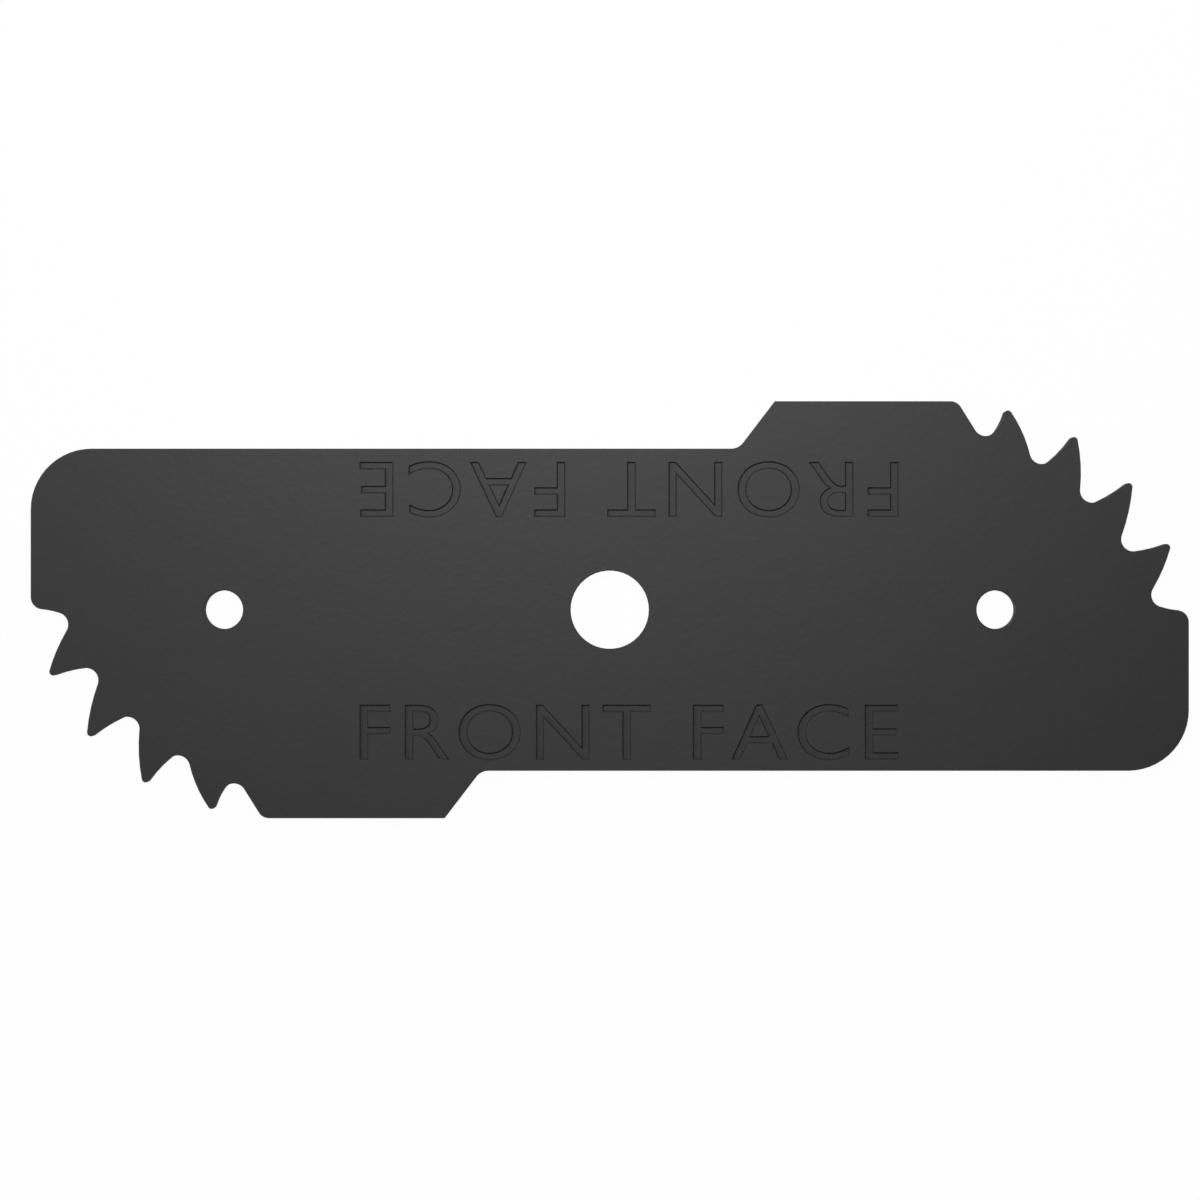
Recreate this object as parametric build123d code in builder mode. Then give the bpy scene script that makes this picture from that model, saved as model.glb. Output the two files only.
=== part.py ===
"""Edger blade: a toothed steel blade for a lawn edger, blanked from one flat plate.

Millimetres. The origin is on the axis of the arbor hole, in the inner face that
lies against the drive flange. +X runs along the blade and +Z goes up out of the
outer face. Seen from the outer face the blade turns counter-clockwise.

Each half is the other turned by half a turn, so the blade is in balance on its
arbor. A half has a plain corner, a raised shoulder, and then teeth that step down
from the shoulder to the end. The tips lie on one circle and the gullets on a larger
one behind it, and every tooth reaches further from the arbor than the one before.
"""

import os
from math import radians, tan

from build123d import *

# Plate
length = 190.5  # 7 1/2 in, over the two ends
body_width = 53.0  # across the plain long edges
shoulder_width = 68.6  # across the two raised shoulders
thickness = 3.0
edge_break = 0.15  # left by deburring, round both faces and the holes

# Holes
arbor_diameter = 12.7  # 1/2 in arbor
arbor_clearance = 0.1  # radial, for a slip fit
pin_hole_diameter = 6.35  # 1/4 in drive pins
pin_hole_spacing = 127.0  # 5 in, centre to centre along the blade

# Shoulder, between its corners before they are rounded
shoulder_setback = 38.1  # 1 1/2 in, from the outer corner to the end of the blade
shoulder_length = 30.0
shoulder_rise_angle = 52.6  # of the slope up from the plain edge

# Teeth, in degrees about the centre of the circle that each stands on
tooth_count = 5  # in each half, with the rounded one at the end of the blade
tip_circle_radius = 37.0  # touches the lines of the shoulder and the end
first_tip_angle = 79.2
last_tip_angle = 22.2  # of the last pointed tooth
root_circle_radius = 60.0
root_axis_angle = 46.0  # direction of the middle gullet
gullet_span = 36.0  # from the first gullet to the last
tooth_depth = 10.2  # between the two circles at the middle gullet
end_tooth_rise = 2.6  # of the end tooth above the point where the tip circle touches the end line

# Curved flanks, as heights of their arcs at the first and the last tooth
first_leading_hollow = 0.68
last_leading_hollow = 0.53
first_back_bulge = 0.87
last_back_bulge = 0.5

# Roundings in the outline
plain_corner_radius = 10.0
rise_foot_radius = 2.5
shoulder_corner_radius = 2.0
gullet_radius = 2.0
tip_radius = 0.65
end_tooth_radius = 2.0

same_point = 0.001  # corners nearer to each other than this are one corner


def on_circle(centre, radius, angle):
    """Return the point of a circle at an angle in degrees from +X."""
    return centre + Vector(radius, 0).rotate(Axis.Z, angle)


def spread(first, last, count):
    """Return values in even steps from the first to the last."""
    return [first + (last - first) * step / (count - 1) for step in range(count)]


def corners(outline, *points):
    """Return the outline's corners at the given points and opposite them in the other half."""
    places = [*points, *(-point for point in points)]
    return outline.vertices().filter_by(
        lambda corner: min((Vector(*corner) - place).length for place in places) < same_point
    )


# Lines of the outline and centres of the two tooth circles
end_line = length / 2
plain_line = body_width / 2
shoulder_line = shoulder_width / 2
shoulder_rise = shoulder_line - plain_line
tip_centre = Vector(end_line - tip_circle_radius, shoulder_line - tip_circle_radius)
centre_distance = root_circle_radius + tooth_depth - tip_circle_radius
root_centre = on_circle(tip_centre, -centre_distance, root_axis_angle)

# Corners of the upper half, from the plain end round to the toothed end
plain_corner = Vector(-end_line, plain_line)
shoulder_corner = Vector(end_line - shoulder_setback, shoulder_line)
shoulder_start = shoulder_corner - Vector(shoulder_length, 0)
rise_foot = shoulder_start - Vector(shoulder_rise / tan(radians(shoulder_rise_angle)), shoulder_rise)
gullets = [
    on_circle(root_centre, root_circle_radius, root_axis_angle + offset)
    for offset in spread(gullet_span / 2, -gullet_span / 2, tooth_count)
]
tips = [
    on_circle(tip_centre, tip_circle_radius, angle)
    for angle in spread(first_tip_angle, last_tip_angle, tooth_count - 1)
]
end_tooth = Vector(end_line, tip_centre.Y + end_tooth_rise)
hollows = spread(first_leading_hollow, last_leading_hollow, tooth_count)
bulges = spread(first_back_bulge, last_back_bulge, tooth_count - 1)

with BuildPart() as edger_blade:
    with BuildSketch() as plate:
        with BuildLine() as upper_half:
            Polyline(-end_tooth, plain_corner, rise_foot, shoulder_start, shoulder_corner, gullets[0])
            for gullet, tip, next_gullet, hollow, bulge in zip(gullets, tips, gullets[1:], hollows, bulges):
                SagittaArc(gullet, tip, -hollow)
                SagittaArc(tip, next_gullet, bulge)
            SagittaArc(gullets[-1], end_tooth, -hollows[-1])
        add(upper_half.line, rotation=180)
        make_face()

        fillet(corners(plate, plain_corner), radius=plain_corner_radius)
        fillet(corners(plate, rise_foot), radius=rise_foot_radius)
        fillet(corners(plate, shoulder_corner), radius=shoulder_corner_radius)
        fillet(corners(plate, *gullets), radius=gullet_radius)
        fillet(corners(plate, *tips), radius=tip_radius)
        fillet(corners(plate, end_tooth), radius=end_tooth_radius)

        Circle(arbor_diameter / 2 + arbor_clearance, mode=Mode.SUBTRACT)
        with GridLocations(pin_hole_spacing, 0, 2, 1):
            Circle(pin_hole_diameter / 2, mode=Mode.SUBTRACT)
    extrude(amount=thickness)
    chamfer(edger_blade.faces().filter_by(Axis.Z).edges(), length=edge_break)

edger_blade.part.label = "edger_blade"
os.makedirs("parts", exist_ok=True)
export_step(edger_blade.part, "parts/edger_blade.step")
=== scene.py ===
"""The edger blade, dressed for its picture.

Metres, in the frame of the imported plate: the origin is on the axis of the arbor hole in
the inner face, +X runs along the blade and +Z points out of the outer face.

The plate gets two rows of recessed words in its outer face, one for each way that the
blade can be held, and a thin matte coat. The coat has the fine ripple and the faint
mottle that it dries with, and the marks of the press show through it on the cut edge.
"""

import logging
import math
from dataclasses import dataclass, field
from enum import Enum
from typing import Any, Optional, Union

import bmesh
import bpy
from mathutils import Matrix, Vector


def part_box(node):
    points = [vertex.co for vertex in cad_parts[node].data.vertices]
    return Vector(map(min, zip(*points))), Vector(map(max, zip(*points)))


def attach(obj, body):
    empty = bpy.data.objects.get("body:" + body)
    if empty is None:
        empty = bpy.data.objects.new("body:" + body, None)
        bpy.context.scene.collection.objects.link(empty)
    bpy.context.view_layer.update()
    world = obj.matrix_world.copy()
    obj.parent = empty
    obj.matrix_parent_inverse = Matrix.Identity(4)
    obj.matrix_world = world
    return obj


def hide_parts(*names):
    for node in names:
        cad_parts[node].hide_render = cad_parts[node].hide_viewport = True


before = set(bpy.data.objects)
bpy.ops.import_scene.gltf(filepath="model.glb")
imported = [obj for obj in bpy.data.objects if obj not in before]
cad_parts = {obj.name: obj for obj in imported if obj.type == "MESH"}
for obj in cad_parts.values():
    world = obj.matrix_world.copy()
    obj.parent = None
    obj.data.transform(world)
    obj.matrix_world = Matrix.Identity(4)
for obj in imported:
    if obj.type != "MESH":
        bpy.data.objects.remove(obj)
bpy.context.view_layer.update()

log = logging.getLogger("edger_blade")

MM = 0.001
BODY = "root"
PLATE_NODE = "edger_blade"
SAME_POINT = 0.0005 * MM  # vertices nearer to each other than this are one
SLIVER = 0.005 * MM  # edges shorter than this are taken out
FLAT_ANGLE = math.radians(0.2)  # faces that turn less than this lie in one plane
MIX_FACTOR, MIX_FIRST, MIX_SECOND, MIX_COLOUR = 0, 6, 7, 2  # sockets of a colour mix
WHITE = (1.0, 1.0, 1.0, 1.0)


# Shader maths


class Signal:
    """A value that a shader works out at each point, for use in ordinary sums."""

    def __init__(self, bench: "ShaderBench", socket: bpy.types.NodeSocket) -> None:
        """Wrap an output of a node.

        Args:
            bench: Where the nodes of its sums are added.
            socket: The output that carries the value.
        """
        self.bench = bench
        self.socket = socket

    def _sum(self, operation: str, first: "Number", second: "Number") -> "Signal":
        """Add the node for one sum.

        Args:
            operation: The node's operation.
            first: Its first number.
            second: Its second number.

        Returns:
            The result.
        """
        return self.bench.node(
            "ShaderNodeMath", {"operation": operation}, {0: first, 1: second}
        )

    def __add__(self, other: "Number") -> "Signal":
        """Return this plus the other."""
        return self._sum("ADD", self, other)

    def __sub__(self, other: "Number") -> "Signal":
        """Return this minus the other."""
        return self._sum("SUBTRACT", self, other)

    def __rsub__(self, other: "Number") -> "Signal":
        """Return the other minus this."""
        return self._sum("SUBTRACT", other, self)

    def __mul__(self, other: "Number") -> "Signal":
        """Return this times the other."""
        return self._sum("MULTIPLY", self, other)

    def __abs__(self) -> "Signal":
        """Return this without its sign."""
        return self._sum("ABSOLUTE", self, 0.0)

    __radd__ = __add__
    __rmul__ = __mul__


Number = Union[Signal, float]


@dataclass(frozen=True)
class Cloud:
    """A cloudy pattern."""

    size: float  # how far apart its patches are
    detail: float  # how many times smaller patches are laid over the large ones
    squeeze: tuple[float, float, float] = (1.0, 1.0, 1.0)  # under 1 they are drawn out


class ShaderBench:
    """The node tree of one finish, or of the light around the blade."""

    def __init__(self, tree: bpy.types.NodeTree) -> None:
        """Empty a node tree, to build in it.

        Args:
            tree: The node tree.
        """
        tree.nodes.clear()
        self.tree = tree

    def node(
        self,
        kind: str,
        settings: Optional[dict[str, Any]] = None,
        inputs: Optional[dict[Union[str, int], Any]] = None,
        output: Union[str, int] = 0,
    ) -> Optional[Signal]:
        """Add one node.

        Args:
            kind: The node's type.
            settings: Its own settings, which are made first.
            inputs: The value or the signal of each socket that isn't left alone.
            output: Which of its outputs to return.

        Returns:
            That output, or None for a node that has none.
        """
        made = self.tree.nodes.new(kind)
        for name, value in (settings or {}).items():
            setattr(made, name, value)
        for name, value in (inputs or {}).items():
            if isinstance(value, Signal):
                self.tree.links.new(value.socket, made.inputs[name])
            else:
                made.inputs[name].default_value = value
        return Signal(self, made.outputs[output]) if made.outputs else None

    def cloud(self, place: Signal, pattern: Cloud) -> Signal:
        """Add a cloudy pattern.

        Args:
            place: The coordinates that it reads.
            pattern: Its patches.

        Returns:
            The pattern, from about -1 to 1 with a mean of 0.
        """
        scale = tuple(share / pattern.size for share in pattern.squeeze)
        scaled = self.node(
            "ShaderNodeMapping",
            {"vector_type": "POINT"},
            {"Vector": place, "Scale": scale},
        )
        grey = self.node(
            "ShaderNodeTexNoise",
            {"noise_dimensions": "3D"},
            {"Vector": scaled, "Scale": 1.0, "Detail": pattern.detail},
        )
        return grey * 2.0 - 1.0

    def step(self, value: Signal, low: float, high: float) -> Signal:
        """Add a soft step.

        Args:
            value: What it reads.
            low: Where it leaves 0.
            high: Where it reaches 1.

        Returns:
            The step, from 0 to 1.
        """
        return self.node(
            "ShaderNodeMapRange",
            {"interpolation_type": "SMOOTHSTEP"},
            {"Value": value, "From Min": low, "From Max": high},
        )

    def blend(self, share: Signal, first: tuple, second: tuple) -> Signal:
        """Add a mix of two colours.

        Args:
            share: How much of the second there is, from 0 to 1.
            first: The first colour.
            second: The second colour.

        Returns:
            The mixed colour.
        """
        return self.node(
            "ShaderNodeMix",
            {"data_type": "RGBA"},
            {MIX_FACTOR: share, MIX_FIRST: first, MIX_SECOND: second},
            MIX_COLOUR,
        )


# Finishes


@dataclass(frozen=True)
class MatteCoat:
    """A thin matte coat of dark paint on blanked steel."""

    name: str = "matte_dark_coat"
    mottle: Cloud = Cloud(14.0 * MM, 3.0)
    ripple: Cloud = Cloud(1.1 * MM, 1.0)
    ripple_height: float = 0.012  # mm
    grain: Cloud = Cloud(0.25 * MM, 2.0)
    grain_height: float = 0.003  # mm

    deep: tuple[float, float, float] = (0.0290, 0.0290, 0.0293)
    light: tuple[float, float, float] = (0.0330, 0.0330, 0.0332)
    middle_tone: float = 0.5  # of the way from the deep colour to the light one
    mottle_tone: float = 0.35  # how far the mottle moves it
    grain_tone: float = 0.25  # how far the grain moves it

    roughness: float = 0.55
    mottle_roughness: float = 0.04  # how far the mottle moves it
    grain_roughness: float = 0.02  # how far the grain moves it
    cut_roughness: float = 0.30  # how much more there is on the cut edge
    shine: float = 0.5  # specular level

    cut_upright: float = 0.1  # Z of the normal, up to which a face is all cut edge
    face_upright: float = 0.3  # Z of the normal, from which it is none
    land_depth: float = 1.1 * MM  # of the burnished land, from the outer face
    land_edge: float = 0.25 * MM  # over which it turns into torn metal
    land_wander: float = 0.125 * MM  # of that edge, up and down
    shear: Cloud = Cloud(0.35 * MM, 2.0, (1.0, 1.0, 0.12))
    shear_height: float = 0.020  # mm
    tear: Cloud = Cloud(0.56 * MM, 3.0, (1.0, 1.0, 0.5))
    tear_height: float = 0.060  # mm

    def material(self, top: float) -> bpy.types.Material:
        """Make the finish.

        Args:
            top: The height of the outer face.

        Returns:
            The material.
        """
        material = bpy.data.materials.new(self.name)
        material.use_nodes = True
        bench = ShaderBench(material.node_tree)
        place = bench.node("ShaderNodeTexCoord", output="Object")
        height = bench.node("ShaderNodeSeparateXYZ", inputs={0: place}, output="Z")
        facing = bench.node("ShaderNodeNewGeometry", output="True Normal")
        upright = bench.node("ShaderNodeSeparateXYZ", inputs={0: facing}, output="Z")

        mottle = bench.cloud(place, self.mottle)
        grain = bench.cloud(place, self.grain)
        ripple = bench.cloud(place, self.ripple)
        shear = bench.cloud(place, self.shear)
        tear = bench.cloud(place, self.tear)

        cut = 1.0 - bench.step(abs(upright), self.cut_upright, self.face_upright)
        foot = top - self.land_depth
        wavy = height + mottle * self.land_wander
        torn = cut * (1.0 - bench.step(wavy, foot - self.land_edge, foot))
        relief = (
            ripple * self.ripple_height
            + grain * self.grain_height
            + cut * shear * self.shear_height
            + torn * tear * self.tear_height
        )
        normal = bench.node(
            "ShaderNodeBump",
            inputs={"Strength": 1.0, "Distance": MM, "Height": relief},
        )
        tone = mottle * self.mottle_tone + grain * self.grain_tone + self.middle_tone
        roughness = (
            mottle * self.mottle_roughness
            + grain * self.grain_roughness
            + cut * self.cut_roughness
            + self.roughness
        )
        shader = bench.node(
            "ShaderNodeBsdfPrincipled",
            inputs={
                "Base Color": bench.blend(tone, (*self.deep, 1.0), (*self.light, 1.0)),
                "Roughness": roughness,
                "Specular IOR Level": self.shine,
                "Normal": normal,
            },
        )
        bench.node("ShaderNodeOutputMaterial", inputs={"Surface": shader})
        return material


@dataclass(frozen=True)
class PaleSweep:
    """The pale studio floor and wall, lit from inside so that they stay even."""

    name: str = "pale_sweep"
    colour: tuple[float, float, float] = (0.02, 0.02, 0.02)
    roughness: float = 0.9
    shine: float = 0.0  # specular level
    glow: float = 0.98

    def material(self) -> bpy.types.Material:
        """Make the finish.

        Returns:
            The material.
        """
        material = bpy.data.materials.new(self.name)
        material.use_nodes = True
        bench = ShaderBench(material.node_tree)
        shader = bench.node(
            "ShaderNodeBsdfPrincipled",
            inputs={
                "Base Color": (*self.colour, 1.0),
                "Roughness": self.roughness,
                "Specular IOR Level": self.shine,
                "Emission Color": WHITE,
                "Emission Strength": self.glow,
            },
        )
        bench.node("ShaderNodeOutputMaterial", inputs={"Surface": shader})
        return material


# Blade


class Reading(Enum):
    """Which way up a row of words stands, as its turn in degrees."""

    UPRIGHT = 0.0
    TURNED = 180.0


@dataclass
class RecessedWords:
    """A row of plain words that is pressed into the outer face, twice."""

    words: str = "FRONT FACE"
    cap_height: float = 8.88 * MM
    cap_share: float = 0.675  # of the letter size, in the built-in letters
    stretch: float = 1.055  # of the letters along the row
    spacing: float = 1.13
    swelling: float = 0.045 * MM  # added to each side of a stroke
    centre: tuple[float, float] = (3.18 * MM, -0.17 * MM)  # of both rows together
    baseline: float = 24.45 * MM  # distance from that centre
    depth: float = 0.4 * MM
    draft: float = 0.22 * MM  # of each wall, seen from above
    lip: float = 0.02 * MM  # depth of the upright rim above the drafted wall
    headroom: float = 0.5 * MM  # of the cutter above the face
    curve_steps: int = 10
    shortest_edge: float = 0.02 * MM

    def lettering(self) -> bpy.types.Mesh:
        """Make the cutter for one row, upright, on its baseline.

        Returns:
            A closed mesh with upright walls, from the rim's foot to the headroom.
        """
        text = bpy.data.curves.new("words", "FONT")
        text.body = self.words
        text.size = self.cap_height / self.cap_share
        text.space_character = self.spacing
        text.resolution_u = self.curve_steps
        text.offset = self.swelling
        text.extrude = (self.headroom + self.lip) / 2
        carrier = show(text, "words")
        bpy.context.view_layer.update()
        graph = bpy.context.evaluated_depsgraph_get()
        mesh = bpy.data.meshes.new_from_object(carrier.evaluated_get(graph))
        bpy.data.objects.remove(carrier)
        bpy.data.curves.remove(text)

        form = bmesh.new()
        form.from_mesh(mesh)
        bmesh.ops.remove_doubles(form, verts=form.verts, dist=self.shortest_edge)
        flatten(form)
        bmesh.ops.scale(form, verts=form.verts, vec=(self.stretch, 1.0, 1.0))
        lift = (self.headroom - self.lip) / 2
        ends = [v.co.x for v in form.verts]
        middle = (min(ends) + max(ends)) / 2
        bmesh.ops.translate(form, verts=form.verts, vec=(-middle, 0.0, lift))
        bmesh.ops.recalc_face_normals(form, faces=form.faces)
        form.to_mesh(mesh)
        form.free()
        return mesh

    def cutter(self, top: float) -> bpy.types.Mesh:
        """Make the cutter for both rows, in place.

        Args:
            top: The height of the outer face.

        Returns:
            A closed mesh.
        """
        row = self.lettering()
        form = bmesh.new()
        for reading in Reading:
            before = set(form.verts)
            form.from_mesh(row)
            fresh = [v for v in form.verts if v not in before]
            bmesh.ops.translate(form, verts=fresh, vec=(0.0, -self.baseline, 0.0))
            turn = Matrix.Rotation(math.radians(reading.value), 3, "Z")
            bmesh.ops.rotate(form, verts=fresh, cent=(0.0, 0.0, 0.0), matrix=turn)
            bmesh.ops.translate(form, verts=fresh, vec=(*self.centre, top))
        form.to_mesh(row)
        form.free()
        return row

    def sink(self, form: bmesh.types.BMesh, top: float) -> None:
        """Sink the floors of the letters to their depth, between drafted walls.

        Args:
            form: The plate with the letters cut as deep as their rims.
            top: The height of the outer face.
        """
        rim = top - self.lip
        floors = [
            face
            for face in form.faces
            if all(abs(v.co.z - rim) < SAME_POINT for v in face.verts)
        ]
        bmesh.ops.inset_region(
            form,
            faces=floors,
            use_boundary=True,
            use_even_offset=True,
            thickness=self.draft,
            depth=self.lip - self.depth,
        )


def flatten(form: bmesh.types.BMesh) -> None:
    """Make one face of neighbours that lie in one plane.

    Args:
        form: The form, which is changed.
    """
    bmesh.ops.dissolve_limit(
        form, angle_limit=FLAT_ANGLE, verts=form.verts, edges=form.edges
    )


def show(data: bpy.types.ID, name: str) -> bpy.types.Object:
    """Put a mesh or a text into the scene.

    Args:
        data: The mesh or the text, already in place.
        name: The object's name.

    Returns:
        Its object, at the origin.
    """
    shown = bpy.data.objects.new(name, data)
    bpy.context.scene.collection.objects.link(shown)
    return shown


@dataclass
class CoatedBlade:
    """The plate with its words and its coat."""

    words: RecessedWords = field(default_factory=RecessedWords)
    coat: MatteCoat = MatteCoat()
    name: str = "blade_coated"
    smooth_below: float = 28.0  # degrees between faces that are shaded as one

    def plate(self) -> bpy.types.Mesh:
        """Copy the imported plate.

        Returns:
            One closed mesh.
        """
        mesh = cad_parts[PLATE_NODE].data.copy()
        mesh.materials.clear()
        carried = mesh.attributes.get("custom_normal")
        if carried:
            mesh.attributes.remove(carried)
        form = bmesh.new()
        form.from_mesh(mesh)
        bmesh.ops.remove_doubles(form, verts=form.verts, dist=SAME_POINT)
        form.to_mesh(mesh)
        form.free()
        return mesh

    def marked(self, plate: bpy.types.Mesh, top: float) -> bpy.types.Mesh:
        """Press the words into the plate.

        Args:
            plate: The plain plate.
            top: The height of its outer face.

        Returns:
            The marked plate as one closed mesh.
        """
        blank = show(plate, "blank")
        press = show(self.words.cutter(top), "press")
        cut = blank.modifiers.new("words", "BOOLEAN")
        cut.operation = "DIFFERENCE"
        cut.solver = "EXACT"
        cut.use_self = True
        cut.object = press
        bpy.context.view_layer.update()
        graph = bpy.context.evaluated_depsgraph_get()
        mesh = bpy.data.meshes.new_from_object(blank.evaluated_get(graph))
        for used in (blank, press):
            bpy.data.objects.remove(used)

        form = bmesh.new()
        form.from_mesh(mesh)
        bmesh.ops.remove_doubles(form, verts=form.verts, dist=SAME_POINT)
        self.words.sink(form, top)
        bmesh.ops.dissolve_degenerate(form, dist=SLIVER, edges=form.edges)
        bmesh.ops.triangulate(form, faces=form.faces)
        log.info(
            "%s: %d faces, %d open edges, %.1f mm3",
            self.name,
            len(form.faces),
            sum(len(edge.link_faces) != 2 for edge in form.edges),
            form.calc_volume(signed=True) / MM**3,
        )
        form.to_mesh(mesh)
        form.free()
        for layer in list(mesh.uv_layers):
            mesh.uv_layers.remove(layer)
        return mesh

    def build(self) -> None:
        """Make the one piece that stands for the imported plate."""
        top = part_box(PLATE_NODE)[1].z
        mesh = self.marked(self.plate(), top)
        mesh.name = self.name
        mesh.shade_smooth()
        mesh.set_sharp_from_angle(angle=math.radians(self.smooth_below))
        mesh.materials.clear()
        mesh.materials.append(self.coat.material(top))
        blade = show(mesh, self.name)
        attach(blade, BODY)
        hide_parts(PLATE_NODE)
        log.info("%s rides on %s", blade.name, BODY)


# Studio


@dataclass(frozen=True)
class Lamp:
    """One square soft lamp."""

    name: str
    place: tuple[float, float, float]
    aim: tuple[float, float, float]
    side: float
    power: float  # W

    def build(self) -> None:
        """Make the lamp and turn it to what it lights."""
        light = bpy.data.lights.new(self.name, "AREA")
        light.shape = "SQUARE"
        light.size = self.side
        light.energy = self.power
        lamp = bpy.data.objects.new(self.name, light)
        lamp.location = self.place
        ray = Vector(self.aim) - Vector(self.place)
        lamp.rotation_euler = ray.to_track_quat("-Z", "Y").to_euler()
        lamp.visible_camera = False
        bpy.context.scene.collection.objects.link(lamp)
        log.info("%s lamp of %.2f W", self.name, self.power)


@dataclass
class Studio:
    """The camera straight above the blade, the pale floor and the soft light."""

    camera_place: tuple[float, float, float] = (-1.606 * MM, 1.600 * MM, 600.0 * MM)
    lens: float = 108.92  # mm
    sensor: float = 36.0  # mm
    nearest: float = 10.0 * MM  # that the camera can see
    floor_radius: float = 6.0
    floor_drop: float = 0.05 * MM  # under the inner face
    wall_height: float = 1.5
    corners: int = 96  # of the floor and the wall round it
    sweep: PaleSweep = PaleSweep()
    room_light: float = 0.05
    lamps: tuple[Lamp, ...] = (
        Lamp("key", (-2.65, -0.5, 1.4), (0.0, 0.0, 0.0), 1.0, 21.0),
        Lamp("near", (-0.015, 0.158, 0.28), (0.0, 0.02, 0.0), 0.12, 0.69),
    )

    def camera(self) -> None:
        """Make the camera, which looks straight down with +Y up in the picture."""
        data = bpy.data.cameras.new("camera")
        data.lens = self.lens
        data.sensor_width = self.sensor
        data.clip_start = self.nearest
        camera = bpy.data.objects.new("camera", data)
        camera.location = self.camera_place
        bpy.context.scene.collection.objects.link(camera)
        bpy.context.scene.camera = camera

    def ring(self, filled: bool) -> bmesh.types.BMesh:
        """Start a form with the wide circle just under the blade.

        Args:
            filled: Whether it is a face, or edges alone.

        Returns:
            The form.
        """
        form = bmesh.new()
        circle = bmesh.ops.create_circle(
            form,
            cap_ends=filled,
            segments=self.corners,
            radius=self.floor_radius,
        )
        drop = (0.0, 0.0, -self.floor_drop)
        bmesh.ops.translate(form, verts=circle["verts"], vec=drop)
        return form

    def staged(
        self, form: bmesh.types.BMesh, name: str, finish: bpy.types.Material
    ) -> bpy.types.Object:
        """Show a form as part of the stage.

        Args:
            form: The form, which is used up.
            name: The object's name.
            finish: Its material.

        Returns:
            Its object.
        """
        mesh = bpy.data.meshes.new(name)
        form.to_mesh(mesh)
        form.free()
        mesh.materials.append(finish)
        stage = show(mesh, name)
        return stage

    def backdrop(self) -> None:
        """Make the floor just under the blade and the wall that stands round it.

        The wall shows to the camera and in the gloss of the coat, and does nothing else.
        """
        pale = self.sweep.material()
        self.staged(self.ring(filled=True), "floor", pale)

        form = self.ring(filled=False)
        raised = bmesh.ops.extrude_edge_only(form, edges=form.edges)
        top = [v for v in raised["geom"] if isinstance(v, bmesh.types.BMVert)]
        bmesh.ops.translate(form, verts=top, vec=(0.0, 0.0, self.wall_height))
        wall = self.staged(form, "wall", pale)
        wall.visible_diffuse = False
        wall.visible_shadow = False

    def room(self) -> None:
        """Make the room, which lights the blade evenly from all round."""
        world = bpy.data.worlds.new("room")
        world.use_nodes = True
        bench = ShaderBench(world.node_tree)
        light = bench.node(
            "ShaderNodeBackground",
            inputs={"Color": WHITE, "Strength": self.room_light},
        )
        bench.node("ShaderNodeOutputWorld", inputs={"Surface": light})
        bpy.context.scene.world = world

    def build(self) -> None:
        """Make the camera, the floor and all the light."""
        bpy.context.scene.view_settings.view_transform = "Standard"
        self.camera()
        self.backdrop()
        self.room()
        for lamp in self.lamps:
            lamp.build()


def main() -> None:
    """Build the studio and the blade."""
    logging.basicConfig(level=logging.INFO, format="%(name)s: %(message)s")
    Studio().build()
    CoatedBlade().build()


if __name__ == "__main__":
    main()
